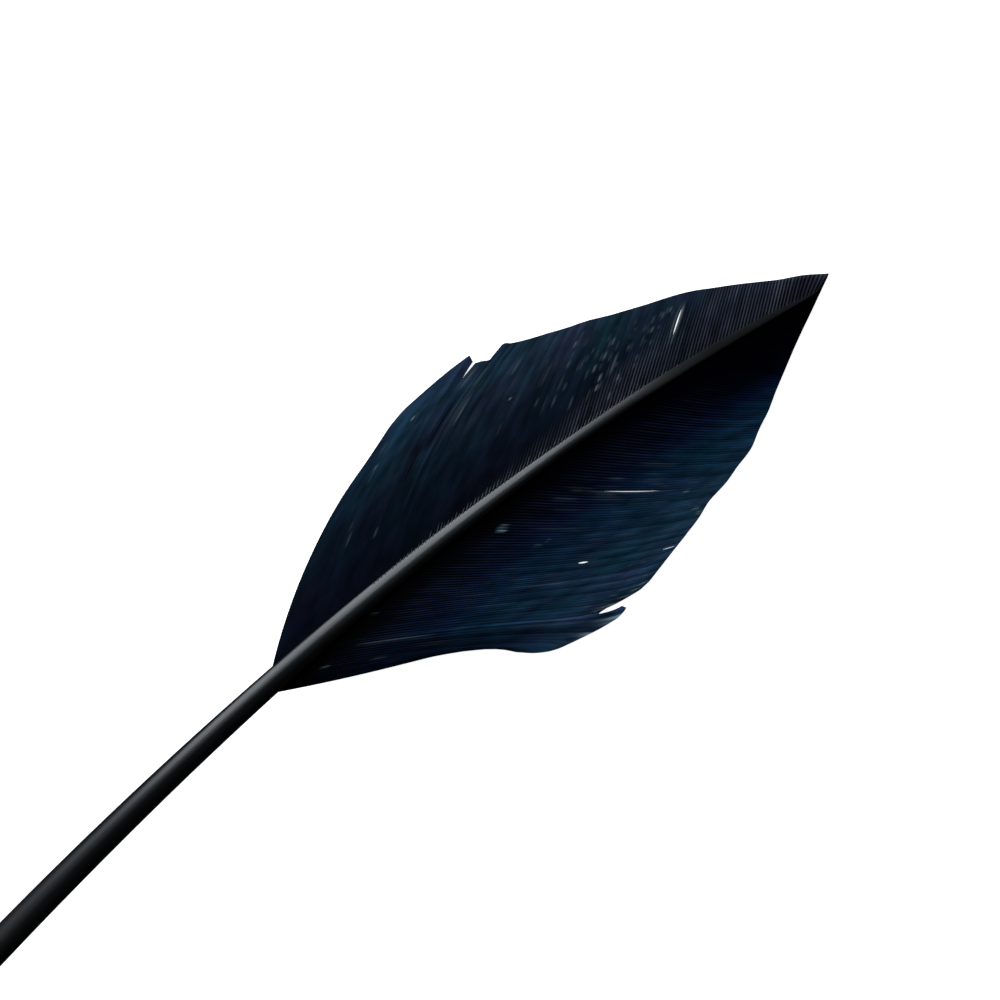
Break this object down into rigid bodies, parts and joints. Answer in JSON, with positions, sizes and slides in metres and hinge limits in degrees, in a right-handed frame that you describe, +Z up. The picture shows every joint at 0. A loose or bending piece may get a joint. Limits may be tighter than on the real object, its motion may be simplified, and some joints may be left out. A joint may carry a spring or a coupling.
{
  "type": "turkey quill feather",
  "caption": "Dyed wing quill with a long bare shaft and a short leaf-shaped vane at its tip, lying with its outer face up.",
  "frame": {"origin": "on the surface that the feather lies on, under the middle of its box", "axes": "+X from the quill's end to the feather's tip, +Z up through the feather's outer face, +Y to the left of somebody looking along +X"},
  "size_m": [0.2808, 0.0503, 0.0116],
  "materials": {
    "dyed_keratin": "feather keratin dyed blue black: satin near-black shaft, soft matte vane that turns navy towards its margins"
  },
  "bodies": {
    "root": {"feather": "dyed_keratin"}
  },
  "joints": []
}
